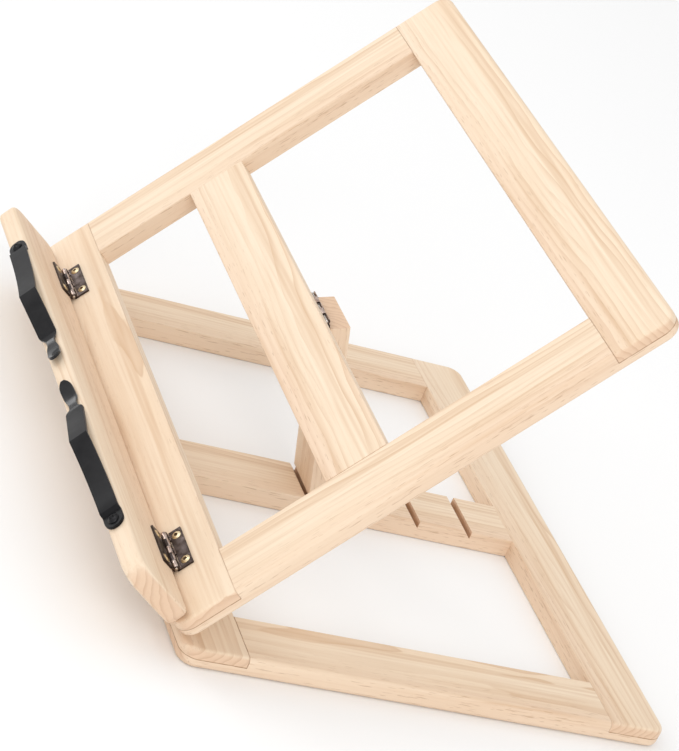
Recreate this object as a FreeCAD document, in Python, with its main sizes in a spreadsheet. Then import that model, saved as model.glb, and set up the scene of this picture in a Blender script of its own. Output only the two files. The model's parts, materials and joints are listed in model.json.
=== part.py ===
import FreeCAD, Part
import math
import os

import Sketcher

# A folding desk easel of pine: a flat base frame, a tilting frame hinged to its front edge, a prop strut
# hinged to the tilting frame's middle rail, and a book ledge with two swinging page clips.
# Millimetres and degrees. +X runs across the easel, +Y from front to back, +Z up.
# The origin is on the table, under the middle of the base frame.

SIZES = [
    ("width", 310, "both frames and the ledge, side to side"),
    ("base_depth", 241, "base frame, front to back"),
    ("panel_height", 242, "tilting frame, bottom edge to top edge"),
    ("stock", 9.5, "thickness of every board"),
    ("rail_width", 30, "width of every frame rail"),
    ("corner_round", 8, "plan radius of the frames' outer corners"),
    ("edge_round", 2.4, "rounding of the frames' outer edges"),
    ("edge_ease", 0.5, "easing of the frames' inner edges and of the strut"),
    ("middle_rail_height", 83, "panel's bottom edge to its middle rail"),
    ("tilt_angle", 52.8, "panel above the table, as it stands"),
    ("prop_lean", 17.5, "strut from the vertical, as it stands"),
    ("prop_width", 28, "strut, side to side"),
    ("prop_setback", 3, "strut's top end below its hinge pin"),
    ("foot_gap", 0.8, "strut's foot above the ratchet rail"),
    ("foot_to_wall", 2.4, "strut's toe to the notch wall behind it"),
    ("notch_pitch", 29, "notch to notch"),
    ("notch_width", 4, "notch, front to back at its mouth"),
    ("notch_depth", 3.8, "notch, top to foot"),
    ("notch_end_room", 15, "last notch to the back rail, at least"),
    ("ledge_depth", 36.4, "ledge, back edge to front edge"),
    ("ledge_angle", 92.6, "ledge opened away from the panel"),
    ("ledge_gap", 0.9, "ledge's back edge off the panel's face"),
    ("ledge_pin_height", 10.45, "panel's bottom edge to the ledge's hinge pin"),
    ("ledge_short", 5, "how much shorter than the frame the ledge is"),
    ("ledge_shift", 2.5, "ledge's middle, right of the easel's middle"),
    ("ledge_corner_outer", 10, "plan radius at the ledge's front corners"),
    ("ledge_corner_inner", 6, "plan radius at the ledge's back corners"),
    ("ledge_round", 2.2, "rounding of the ledge's edges"),
    ("ledge_hinge_side", 111.5, "middle of the easel to a ledge hinge"),
    ("tilt_hinge_side", 108, "middle of the easel to a tilt hinge"),
    ("tilt_pin_inset", 0.83, "tilt pin behind the base frame's front edge"),
    ("tilt_pin_height", 1, "panel's bottom edge to the tilt pin"),
    ("hinge_length", 25, "butt hinge along its pin"),
    ("hinge_reach", 7.8, "butt hinge, pin to the edge of a leaf"),
    ("leaf_thickness", 1, "sheet brass of a leaf"),
    ("knuckle_radius", 1.6, "outside of a knuckle"),
    ("knuckle_count", 5, "knuckles on a hinge"),
    ("knuckle_play", 0.2, "gap between two knuckles"),
    ("wood_gap", 0.15, "knuckle above the wood"),
    ("leaf_relief", 0.35, "leaf clear of the other leaf's knuckles"),
    ("pin_radius", 0.8, "hinge pin"),
    ("pin_play", 0.05, "running clearance round a hinge pin"),
    ("screw_pitch", 17.2, "screw to screw on a leaf"),
    ("screw_from_pin", 4.9, "hinge pin to a leaf's screws"),
    ("screw_head_radius", 2.2, "head of a hinge screw"),
    ("screw_head_crown", 0.6, "crown of that head above the leaf"),
    ("screw_radius", 1.1, "shank of a hinge screw"),
    ("screw_grip", 6, "hinge screw in the wood"),
    ("screw_slot", 0.6, "width of a screw head's cross recess"),
    ("screw_slot_depth", 0.8, "depth of that recess"),
    ("screw_cross", 2.2, "a hinge screw's recess, end to end"),
    ("clip_screw_cross", 3, "a clip screw's recess, end to end"),
    ("dowel_radius", 2.5, "dowel in a frame joint"),
    ("dowel_reach", 12, "dowel in each board"),
    ("dowel_spread", 15, "dowel to dowel in a joint"),
    ("clip_width", 9, "page clip, across its strip"),
    ("clip_thickness", 1.5, "page clip, its steel strip"),
    ("clip_tab", 9.4, "flat tab under the clip's screw"),
    ("clip_step", 1.2, "length of the bend next to the tab"),
    ("clip_step_rise", 2, "height of that bend"),
    ("clip_crest", 57, "tab's end to the clip's crest"),
    ("clip_crest_rise", 8.4, "crest's underside above the ledge"),
    ("clip_bow", 220, "radius of the clip's hollow back"),
    ("clip_neck", 88.5, "tab's end to the clip's neck"),
    ("clip_neck_rise", 0.5, "neck's underside above the ledge"),
    ("clip_neck_width", 4.6, "clip at its neck"),
    ("clip_shoulder", 3, "taper from the strip to its neck"),
    ("clip_length", 107.5, "tab's end to the clip's tip"),
    ("clip_tip_rise", 3.6, "tip's underside above the ledge"),
    ("clip_tip_bow", 38, "radius of the upturned tip"),
    ("clip_tip_width", 6.4, "rounded tip pad, across"),
    ("clip_left_side", 105.5, "middle of the easel to the left clip's screw"),
    ("clip_right_side", 120, "middle of the easel to the right clip's screw"),
    ("clip_slip", 0.1, "clip's tab off the wood and off its screw head"),
    ("clip_screw_radius", 1.5, "clip screw's shank"),
    ("clip_screw_play", 0.15, "clip's hole round that shank"),
    ("clip_screw_head", 2.6, "clip screw's head"),
    ("clip_screw_crown", 1.5, "height of that head"),
    ("clip_screw_grip", 12, "clip screw in the ledge"),
]

doc = FreeCAD.newDocument("DeskEasel")
sheet = doc.addObject("Spreadsheet::Sheet", "Sizes")
for row, (alias, value, meaning) in enumerate(SIZES, start=1):
    sheet.set("A%d" % row, alias)
    sheet.set("B%d" % row, str(value))
    sheet.setAlias("B%d" % row, alias)
    sheet.set("C%d" % row, meaning)
doc.recompute()

# Sizes that follow from the ones above.
RISE = "(Sizes.knuckle_radius + Sizes.wood_gap)"
PIN_DEPTH = "(Sizes.stock + %s)" % RISE
HALF_WIDTH = "(Sizes.width / 2)"
MIDDLE_OF_STOCK = "(Sizes.stock / 2)"
BASE_INNER = "(Sizes.base_depth - 2 * Sizes.rail_width)"
PANEL_INNER_WIDTH = "(Sizes.width - 2 * Sizes.rail_width)"
PROP_PIN_U = "(Sizes.middle_rail_height + Sizes.rail_width)"
TILT_ARM = "(%s - Sizes.tilt_pin_height)" % PROP_PIN_U
PROP_REACH = (
    "((%s * (1 + sin(Sizes.prop_lean)) + %s * sin(Sizes.tilt_angle) - Sizes.foot_gap)"
    " / cos(Sizes.prop_lean))" % (RISE, TILT_ARM)
)
TOE_Y = (
    "(Sizes.tilt_pin_inset + %s * cos(Sizes.tilt_angle) + %s * cos(Sizes.prop_lean)"
    " + %s * sin(Sizes.prop_lean))" % (TILT_ARM, RISE, PROP_REACH)
)
NOTCH_Y = "(%s + Sizes.foot_to_wall - Sizes.rail_width)" % TOE_Y
NOTCH_COUNT = (
    "floor((%s - Sizes.notch_end_room - %s) / Sizes.notch_pitch) + 1" % (BASE_INNER, NOTCH_Y)
)
LEDGE_LENGTH = "(Sizes.width - Sizes.ledge_short)"
LEDGE_MIDDLE = "(%s / 2 + Sizes.ledge_shift)" % LEDGE_LENGTH
LEDGE_OVERHANG = "(%s - Sizes.ledge_gap)" % RISE
LEDGE_FRONT = "(Sizes.ledge_depth - %s)" % LEDGE_OVERHANG
KNUCKLE_LENGTH = "(Sizes.hinge_length / Sizes.knuckle_count)"


def at(x="0", y="0", z="0", axis="1;0;0", turn="0"):
    """A placement, as an expression: a turn about an axis through the origin, then a shift."""
    return "placement(vector(%s; %s; %s); rotation(vector(%s); %s))" % (x, y, z, axis, turn)


FLIP = at(axis="0;1;0", turn="180")

# The frames that pieces are modelled in. On the base, Y runs back from its front edge.
# On the panel, Y runs up from its bottom edge and Z out of its front face.
# On a hinged board, Y runs from the hinge pin along the board, and its face is at Z = -RISE.
BASE = at(y="-Sizes.base_depth / 2")
PANEL = "%s * %s * %s" % (
    BASE,
    at(y="Sizes.tilt_pin_inset", z=PIN_DEPTH, turn="Sizes.tilt_angle"),
    at(y="-Sizes.tilt_pin_height", z=PIN_DEPTH),
)
PROP = "%s * %s * %s" % (
    PANEL,
    at(y=PROP_PIN_U, z="-%s" % PIN_DEPTH, turn="Sizes.prop_lean - 90 - Sizes.tilt_angle"),
    FLIP,
)
LEDGE = "%s * %s * %s" % (
    PANEL,
    at(y="Sizes.ledge_pin_height", z=RISE, turn="Sizes.ledge_angle"),
    FLIP,
)

parts = []


def finish(obj, label, frame, shift=None):
    """Name a sub-part, put it in its place and add it to the list that is written out."""
    obj.Label = label
    place = frame if shift is None else "%s * %s" % (frame, shift)
    obj.setExpression("Placement", place)
    parts.append(obj)
    return obj


def plane(body, role):
    """One of a body's own origin planes."""
    return next(f for f in body.Origin.OriginFeatures if f.Role == role)


def sketch_on(body, name, role):
    sketch = body.newObject("Sketcher::SketchObject", name)
    sketch.AttachmentSupport = (plane(body, role), [""])
    sketch.MapMode = "FlatFace"
    return sketch


def hold(sketch, geometry, end, x, y):
    """Tie one end of a sketch's line or arc to a place given by two expressions."""
    for kind, text in (("DistanceX", x), ("DistanceY", y)):
        start = sketch.getPoint(geometry, end)
        now = start.x if kind == "DistanceX" else start.y
        index = sketch.addConstraint(Sketcher.Constraint(kind, -1, 1, geometry, end, now))
        sketch.setExpression("Constraints[%d]" % index, text)


def value_of(text):
    """What an expression over the sheet comes to."""
    return float(FreeCAD.Units.Quantity(sheet.evalExpression(text)).Value)


def rectangle(body, name, length, depth, role="XY_Plane"):
    """A sketched rectangle with one corner on the body's origin."""
    sketch = sketch_on(body, name, role)
    far_x = value_of(length)
    far_y = value_of(depth)
    corners = [(0, 0), (far_x, 0), (far_x, far_y), (0, far_y)]
    for start, end in zip(corners, corners[1:] + corners[:1]):
        line = Part.LineSegment(FreeCAD.Vector(*start, 0), FreeCAD.Vector(*end, 0))
        sketch.addGeometry(line)
    for side in range(4):
        sketch.addConstraint(Sketcher.Constraint("Coincident", side, 2, (side + 1) % 4, 1))
        kind = "Horizontal" if side % 2 == 0 else "Vertical"
        sketch.addConstraint(Sketcher.Constraint(kind, side))
    sketch.addConstraint(Sketcher.Constraint("Coincident", 0, 1, -1, 1))
    across = sketch.addConstraint(Sketcher.Constraint("DistanceX", 0, 1, 0, 2, far_x))
    sketch.setExpression("Constraints[%d]" % across, length)
    up = sketch.addConstraint(Sketcher.Constraint("DistanceY", 1, 1, 1, 2, far_y))
    sketch.setExpression("Constraints[%d]" % up, depth)
    return sketch


def edges_where(feature, test):
    """The names of a feature's edges whose middle passes a test."""
    names = []
    for number, edge in enumerate(feature.Shape.Edges, start=1):
        middle = edge.valueAt((edge.FirstParameter + edge.LastParameter) / 2)
        if test(middle):
            names.append("Edge%d" % number)
    return names


def round_edges(body, name, radius, test):
    """Round the edges of a body's last feature that pass a test."""
    doc.recompute()
    base = body.Tip
    fillet = body.newObject("PartDesign::Fillet", name)
    fillet.Base = (base, edges_where(base, test))
    fillet.setExpression("Radius", radius)
    doc.recompute()
    return fillet


def board(name, length, depth):
    """A board lying on its body's XY plane, one corner at the origin, as thick as the stock."""
    body = doc.addObject("PartDesign::Body", name)
    outline = rectangle(body, name + "Outline", length, depth)
    pad = body.newObject("PartDesign::Pad", name + "Pad")
    pad.Profile = outline
    pad.setExpression("Length", "Sizes.stock")
    outline.Visibility = False
    doc.recompute()
    return body


def drill(body, name, radius, depth, where):
    """A round blind hole from a place along that place's own Z."""
    hole = body.newObject("PartDesign::SubtractiveCylinder", name)
    hole.setExpression("Radius", radius)
    hole.setExpression("Height", depth)
    hole.setExpression("Placement", where)
    doc.recompute()


def on_face(value, limit):
    return abs(value) < 1e-6 or abs(value - limit) < 1e-6


def frame_rail(name, length, outer_low, keep_low_laps):
    """A rail along X that reaches both ends of its frame, with half its thickness cut away at each
    end to lap the rail across it. outer_low says which long edge is the frame's outside."""
    body = board(name, length, "Sizes.rail_width")
    long = value_of(length)
    deep = value_of("Sizes.rail_width")
    thick = value_of("Sizes.stock")
    outer = 0 if outer_low else deep
    inner = deep - outer

    def is_corner(p):
        return abs(p.y - outer) < 1e-6 and on_face(p.x, long) and not on_face(p.z, thick)

    def is_outside(p):
        return on_face(p.z, thick) and abs(p.y - inner) > 1e-6

    def is_inside(p):
        return on_face(p.z, thick) and abs(p.y - inner) < 1e-6

    round_edges(body, name + "Corners", "Sizes.corner_round", is_corner)
    round_edges(body, name + "Outside", "Sizes.edge_round", is_outside)
    round_edges(body, name + "Inside", "Sizes.edge_ease", is_inside)
    low = MIDDLE_OF_STOCK if keep_low_laps else "0"
    for number, x in enumerate(("0", "%s - Sizes.rail_width" % length)):
        lap = body.newObject("PartDesign::SubtractiveBox", "%sLap%d" % (name, number))
        lap.setExpression("Length", "Sizes.rail_width")
        lap.setExpression("Width", "Sizes.rail_width")
        lap.setExpression("Height", MIDDLE_OF_STOCK)
        lap.setExpression("Placement", at(x, "0", low))
        doc.recompute()
    return body


def eased_board(name, length, depth, along_x):
    """A board whose long edges are only eased."""
    body = board(name, length, depth)
    wide = value_of(length)
    deep = value_of(depth)
    thick = value_of("Sizes.stock")

    def is_long_edge(p):
        across = on_face(p.y, deep) if along_x else on_face(p.x, wide)
        return on_face(p.z, thick) and across

    round_edges(body, name + "Ease", "Sizes.edge_ease", is_long_edge)
    return body


SPREAD = ("-Sizes.dowel_spread / 2", "Sizes.dowel_spread / 2")


def dowel_holes_y(body, name, centre_x, y, forward):
    """Two dowel holes along Y. forward drills towards +Y."""
    turn = "-90" if forward else "90"
    for number, offset in enumerate(SPREAD):
        where = at("%s + %s" % (centre_x, offset), y, MIDDLE_OF_STOCK, turn=turn)
        drill(body, "%s%d" % (name, number), "Sizes.dowel_radius", "Sizes.dowel_reach", where)


def dowel_holes_x(body, name, x, centre_y, forward):
    """Two dowel holes along X. forward drills towards +X."""
    turn = "90" if forward else "-90"
    for number, offset in enumerate(SPREAD):
        where = at(x, "%s + %s" % (centre_y, offset), MIDDLE_OF_STOCK, "0;1;0", turn)
        drill(body, "%s%d" % (name, number), "Sizes.dowel_radius", "Sizes.dowel_reach", where)


def screw_holes(body, name, centre_x, y, z, up):
    """The two pilot holes of a hinge leaf. up drills towards +Z, from a lower face."""
    for number, side in enumerate((-1, 1)):
        x = "%s + %d * Sizes.screw_pitch / 2" % (centre_x, side)
        low = z if up else "%s - Sizes.screw_grip" % z
        drill(body, "%s%d" % (name, number), "Sizes.screw_radius", "Sizes.screw_grip", at(x, y, low))


def dowels(name, label, frame, places):
    """A group of dowels, each given by its middle and the axis that it lies along."""
    pieces = []
    for number, (x, y, z, along_x) in enumerate(places):
        dowel = doc.addObject("Part::Cylinder", "%s%d" % (name, number))
        dowel.setExpression("Radius", "Sizes.dowel_radius")
        dowel.setExpression("Height", "2 * Sizes.dowel_reach")
        axis, turn = ("0;1;0", "90") if along_x else ("1;0;0", "-90")
        centre = at(z="-Sizes.dowel_reach")
        dowel.setExpression("Placement", "%s * %s" % (at(x, y, z, axis, turn), centre))
        pieces.append(dowel)
    group = doc.addObject("Part::Compound", name)
    group.Links = pieces
    finish(group, label, frame)


# ---- base frame ----
def place_side_rail(rail, label, frame, side, z):
    """Turn a rail that was made along X so that it runs along Y, on the left or the right of a frame."""
    x = "-%s + Sizes.rail_width" % HALF_WIDTH if side < 0 else HALF_WIDTH
    finish(rail, label, frame, at(x, "0", z, "0;0;1", "90"))


def make_base():
    back_y = "(Sizes.base_depth - Sizes.rail_width)"
    dowel_start = "Sizes.rail_width - Sizes.dowel_reach"

    front = frame_rail("BaseFront", "Sizes.width", True, False)
    dowel_holes_y(front, "FrontMiddle", HALF_WIDTH, dowel_start, True)
    for side in (-1, 1):
        x = "%s + %d * Sizes.tilt_hinge_side" % (HALF_WIDTH, side)
        y = "Sizes.tilt_pin_inset + Sizes.screw_from_pin"
        screw_holes(front, "FrontScrew%d" % (side + 1), x, y, "Sizes.stock", False)
    finish(front, "base_front_rail", BASE, at("-%s" % HALF_WIDTH))

    back = frame_rail("BaseBack", "Sizes.width", False, False)
    dowel_holes_y(back, "BackMiddle", HALF_WIDTH, "0", True)
    finish(back, "base_back_rail", BASE, at("-%s" % HALF_WIDTH, back_y))

    for side, word in ((-1, "left"), (1, "right")):
        rail = frame_rail("Base" + word, "Sizes.base_depth", side > 0, True)
        place_side_rail(rail, "base_%s_rail" % word, BASE, side, "0")

    middle = "Sizes.rail_width / 2"
    ratchet = eased_board("Ratchet", "Sizes.rail_width", BASE_INNER, False)
    dowel_holes_y(ratchet, "RatchetLow", middle, "0", True)
    dowel_holes_y(ratchet, "RatchetHigh", middle, BASE_INNER, False)
    cut_notches(ratchet)
    finish(ratchet, "base_ratchet_rail", BASE, at("-Sizes.rail_width / 2", "Sizes.rail_width"))

    places = []
    for y in ("Sizes.rail_width", back_y):
        for offset in SPREAD:
            places.append((offset, y, MIDDLE_OF_STOCK, False))
    dowels("BaseDowels", "base_dowels", BASE, places)


def cut_notches(body):
    """Notches across the ratchet rail: each has an upright wall at its back and a slope at its front."""
    sketch = sketch_on(body, "NotchOutline", "YZ_Plane")
    top = "Sizes.stock"
    foot = "Sizes.stock - Sizes.notch_depth"
    corners = [
        (NOTCH_Y, foot),
        (NOTCH_Y, top),
        ("%s - Sizes.notch_width" % NOTCH_Y, top),
    ]
    points = [FreeCAD.Vector(value_of(y), value_of(z), 0) for y, z in corners]
    for start in range(3):
        sketch.addGeometry(Part.LineSegment(points[start], points[(start + 1) % 3]))
    for start in range(3):
        sketch.addConstraint(Sketcher.Constraint("Coincident", start, 2, (start + 1) % 3, 1))
    for number, (y, z) in enumerate(corners):
        hold(sketch, number, 1, y, z)
    doc.recompute()
    before = body.Shape.Volume
    pocket = body.newObject("PartDesign::Pocket", "Notch")
    pocket.Profile = sketch
    pocket.Type = "ThroughAll"
    pocket.Reversed = True
    doc.recompute()
    if body.Shape.Volume > before - 1:
        raise RuntimeError("the notch cuts nothing")
    notches = body.newObject("PartDesign::LinearPattern", "Notches")
    notches.Originals = [pocket]
    notches.Direction = (plane(body, "Y_Axis"), [""])
    notches.setExpression("Occurrences", NOTCH_COUNT)
    notches.setExpression("Length", "Sizes.notch_pitch * (%s - 1)" % NOTCH_COUNT)
    body.Tip = notches
    doc.recompute()


# ---- tilting frame ----
def make_panel():
    back = "-Sizes.stock"
    top_y = "(Sizes.panel_height - Sizes.rail_width)"

    bottom = frame_rail("PanelBottom", "Sizes.width", True, False)
    for side in (-1, 1):
        tilt_x = "%s + %d * Sizes.tilt_hinge_side" % (HALF_WIDTH, side)
        tilt_y = "Sizes.tilt_pin_height + Sizes.screw_from_pin"
        screw_holes(bottom, "TiltScrew%d" % (side + 1), tilt_x, tilt_y, "0", True)
        ledge_x = "%s + %d * Sizes.ledge_hinge_side" % (HALF_WIDTH, side)
        ledge_y = "Sizes.ledge_pin_height + Sizes.screw_from_pin"
        screw_holes(bottom, "LedgeScrew%d" % (side + 1), ledge_x, ledge_y, "Sizes.stock", False)
    finish(bottom, "panel_bottom_rail", PANEL, at("-%s" % HALF_WIDTH, "0", back))

    top = frame_rail("PanelTop", "Sizes.width", False, False)
    finish(top, "panel_top_rail", PANEL, at("-%s" % HALF_WIDTH, top_y, back))

    middle_y = "(Sizes.middle_rail_height + Sizes.rail_width / 2)"
    for side, word in ((-1, "left"), (1, "right")):
        rail = frame_rail("Panel" + word, "Sizes.panel_height", side > 0, True)
        inner = "Sizes.rail_width - Sizes.dowel_reach" if side > 0 else "0"
        dowel_holes_y(rail, "Panel%sMiddle" % word, middle_y, inner, True)
        place_side_rail(rail, "panel_%s_rail" % word, PANEL, side, back)

    middle = eased_board("PanelMiddle", PANEL_INNER_WIDTH, "Sizes.rail_width", True)
    dowel_holes_x(middle, "MiddleLeft", "0", "Sizes.rail_width / 2", True)
    dowel_holes_x(middle, "MiddleRight", PANEL_INNER_WIDTH, "Sizes.rail_width / 2", False)
    screw_y = "Sizes.rail_width - Sizes.screw_from_pin"
    screw_holes(middle, "PropScrew", "%s / 2" % PANEL_INNER_WIDTH, screw_y, "0", True)
    where = at("-%s / 2" % PANEL_INNER_WIDTH, "Sizes.middle_rail_height", back)
    finish(middle, "panel_middle_rail", PANEL, where)

    places = []
    for side in (-1, 1):
        x = "%d * %s / 2" % (side, PANEL_INNER_WIDTH)
        for offset in SPREAD:
            places.append((x, "%s + %s" % (middle_y, offset), "-%s" % MIDDLE_OF_STOCK, True))
    dowels("PanelDowels", "panel_dowels", PANEL, places)


# ---- prop strut and ledge, each in its own hinge's frame ----
def make_prop():
    length = "(%s - Sizes.prop_setback)" % PROP_REACH
    prop = eased_board("Prop", "Sizes.prop_width", length, False)
    screw_y = "Sizes.screw_from_pin - Sizes.prop_setback"
    screw_holes(prop, "PropLeafScrew", "Sizes.prop_width / 2", screw_y, "Sizes.stock", False)
    where = at("-Sizes.prop_width / 2", "Sizes.prop_setback", "-%s" % PIN_DEPTH)
    finish(prop, "prop_strut", PROP, where)


def make_ledge():
    ledge = board("Ledge", LEDGE_LENGTH, "Sizes.ledge_depth")
    long = value_of(LEDGE_LENGTH)
    deep = value_of("Sizes.ledge_depth")
    thick = value_of("Sizes.stock")

    def is_front_corner(p):
        return abs(p.y - deep) < 1e-6 and on_face(p.x, long) and not on_face(p.z, thick)

    def is_back_corner(p):
        return abs(p.y) < 1e-6 and on_face(p.x, long) and not on_face(p.z, thick)

    round_edges(ledge, "LedgeFrontCorners", "Sizes.ledge_corner_outer", is_front_corner)
    round_edges(ledge, "LedgeBackCorners", "Sizes.ledge_corner_inner", is_back_corner)
    round_edges(ledge, "LedgeEdges", "Sizes.ledge_round", lambda p: on_face(p.z, thick))
    screw_y = "Sizes.screw_from_pin + %s" % LEDGE_OVERHANG
    for side in (-1, 1):
        x = "%s + %d * Sizes.ledge_hinge_side" % (LEDGE_MIDDLE, side)
        screw_holes(ledge, "LedgeLeafScrew%d" % (side + 1), x, screw_y, "Sizes.stock", False)
    for name, x in (
        ("ClipLeftHole", "%s + Sizes.clip_left_side" % LEDGE_MIDDLE),
        ("ClipRightHole", "%s - Sizes.clip_right_side" % LEDGE_MIDDLE),
    ):
        start = "Sizes.ledge_depth - Sizes.clip_screw_grip"
        where = at(x, start, MIDDLE_OF_STOCK, turn="-90")
        drill(ledge, name, "Sizes.clip_screw_radius", "Sizes.clip_screw_grip", where)
    where = at("-%s" % LEDGE_MIDDLE, "-%s" % LEDGE_OVERHANG, "-%s" % PIN_DEPTH)
    finish(ledge, "ledge_board", LEDGE, where)


# ---- butt hinges ----
def primitive(kind, name, sizes, where):
    piece = doc.addObject(kind, name)
    for prop, text in sizes.items():
        piece.setExpression(prop, text)
    piece.setExpression("Placement", where)
    return piece


def along_x(x, y="0", z="0"):
    return at(x, y, z, "0;1;0", "90")


def leaf(name, label, place, has_pin):
    """A leaf in its own frame: pin on X, wood at Z = -RISE. The one with the pin has more knuckles."""
    clear = "(Sizes.knuckle_radius + Sizes.leaf_relief)"
    start_x = "-Sizes.hinge_length / 2"
    plate = primitive(
        "Part::Box",
        name + "Plate",
        {
            "Length": "Sizes.hinge_length",
            "Width": "Sizes.hinge_reach - %s" % clear,
            "Height": "Sizes.leaf_thickness",
        },
        at(start_x, clear, "-%s" % RISE),
    )
    solids = [plate]
    count = int(value_of("Sizes.knuckle_count"))
    play = "Sizes.knuckle_play / 2"
    for number in range(0 if has_pin else 1, count, 2):
        x = "%s + %d * %s + %s" % (start_x, number, KNUCKLE_LENGTH, play)
        long = "%s - Sizes.knuckle_play" % KNUCKLE_LENGTH
        solids.append(
            primitive(
                "Part::Cylinder",
                "%sKnuckle%d" % (name, number),
                {"Radius": "Sizes.knuckle_radius", "Height": long},
                along_x(x),
            )
        )
        solids.append(
            primitive(
                "Part::Box",
                "%sTab%d" % (name, number),
                {"Length": long, "Width": clear, "Height": "Sizes.leaf_thickness"},
                at(x, "0", "-%s" % RISE),
            )
        )
    metal = doc.addObject("Part::MultiFuse", name + "Metal")
    metal.Shapes = solids
    bore = "Sizes.pin_radius" if has_pin else "Sizes.pin_radius + Sizes.pin_play"
    holes = [
        primitive(
            "Part::Cylinder",
            name + "Bore",
            {"Radius": bore, "Height": "Sizes.hinge_length"},
            along_x(start_x),
        )
    ]
    for side in (-1, 1):
        where = at("%d * Sizes.screw_pitch / 2" % side, "Sizes.screw_from_pin", "-%s" % RISE)
        holes.append(
            primitive(
                "Part::Cone",
                "%sCountersink%d" % (name, side + 1),
                {
                    "Radius1": "Sizes.screw_radius",
                    "Radius2": "Sizes.screw_head_radius",
                    "Height": "Sizes.leaf_thickness",
                },
                where,
            )
        )
    cutter = doc.addObject("Part::MultiFuse", name + "Cutter")
    cutter.Shapes = holes
    cut = doc.addObject("Part::Cut", name)
    cut.Base = metal
    cut.Tool = cutter
    finish(cut, label, place)


def crossed_head(name, radius, crown, cross):
    """A crowned screw head with a cross recess, its flat underside at the origin."""
    ball = "(%s * %s + %s * %s) / (2 * %s)" % (radius, radius, crown, crown, crown)
    dome = primitive("Part::Sphere", name + "Dome", {"Radius": ball}, at(z="%s - %s" % (crown, ball)))
    disc = primitive("Part::Cylinder", name + "Disc", {"Radius": radius, "Height": crown}, at())
    crowned = doc.addObject("Part::Common", name + "Crown")
    crowned.Base = dome
    crowned.Tool = disc
    recess = []
    for number, turn in enumerate(("45", "135")):
        height = "2 * Sizes.screw_slot_depth"
        sizes = {"Length": cross, "Width": "Sizes.screw_slot", "Height": height}
        centre = at("-%s / 2" % cross, "-Sizes.screw_slot / 2")
        lift = at(z="%s - Sizes.screw_slot_depth" % crown, axis="0;0;1", turn=turn)
        slot = primitive("Part::Box", "%sSlot%d" % (name, number), sizes, "%s * %s" % (lift, centre))
        recess.append(slot)
    both = doc.addObject("Part::Fuse", name + "Recess")
    both.Base, both.Tool = recess
    return crowned, both


def screw_from(name, pieces, recess):
    """One screw: its pieces made one, less its recess."""
    whole = doc.addObject("Part::MultiFuse", name + "Whole")
    whole.Shapes = pieces
    screw = doc.addObject("Part::Cut", name)
    screw.Base = whole
    screw.Tool = recess
    return screw


def hinge_screw(name):
    """A raised countersunk screw along Z, with the top of its leaf at the origin."""
    tip = "(2 * Sizes.screw_radius)"
    sink = primitive(
        "Part::Cone",
        name + "Sink",
        {
            "Radius1": "Sizes.screw_radius",
            "Radius2": "Sizes.screw_head_radius",
            "Height": "Sizes.leaf_thickness",
        },
        at(z="-Sizes.leaf_thickness"),
    )
    shank = primitive(
        "Part::Cylinder",
        name + "Shank",
        {"Radius": "Sizes.screw_radius", "Height": "Sizes.screw_grip - %s" % tip},
        at(z="-Sizes.leaf_thickness - Sizes.screw_grip + %s" % tip),
    )
    point = primitive(
        "Part::Cone",
        name + "Point",
        {"Radius1": "0.1 * Sizes.screw_radius", "Radius2": "Sizes.screw_radius", "Height": tip},
        at(z="-Sizes.leaf_thickness - Sizes.screw_grip"),
    )
    head, recess = crossed_head(
        name, "Sizes.screw_head_radius", "Sizes.screw_head_crown", "Sizes.screw_cross"
    )
    return screw_from(name, [head, sink, shank, point], recess)


def hinge_screws(name, label, places):
    """The screws of one or more leaves that lie on the same board."""
    screws = []
    for number, place in enumerate(places):
        for side in (-1, 1):
            screw = hinge_screw("%s%d%s" % (name, number, "AB"[side > 0]))
            x = "%d * Sizes.screw_pitch / 2" % side
            top = at(x, "Sizes.screw_from_pin", "Sizes.leaf_thickness - %s" % RISE)
            screw.setExpression("Placement", "%s * %s" % (place, top))
            screws.append(screw)
    group = doc.addObject("Part::Compound", name)
    group.Links = screws
    finish(group, label, at())


def hinge(name, label, pin_leaf, pin_place, other_leaf, other_place):
    """One hinge: the leaf that holds the pin, the pin, and the leaf that turns on it."""
    leaf(name + "Fixed", "%s_%s" % (label, pin_leaf), pin_place, True)
    leaf(name + "Turning", "%s_%s" % (label, other_leaf), other_place, False)
    pin = primitive(
        "Part::Cylinder",
        name + "Pin",
        {"Radius": "Sizes.pin_radius", "Height": "Sizes.hinge_length"},
        pin_place,
    )
    finish(pin, "%s_pin" % label, pin_place, along_x("-Sizes.hinge_length / 2"))


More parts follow.
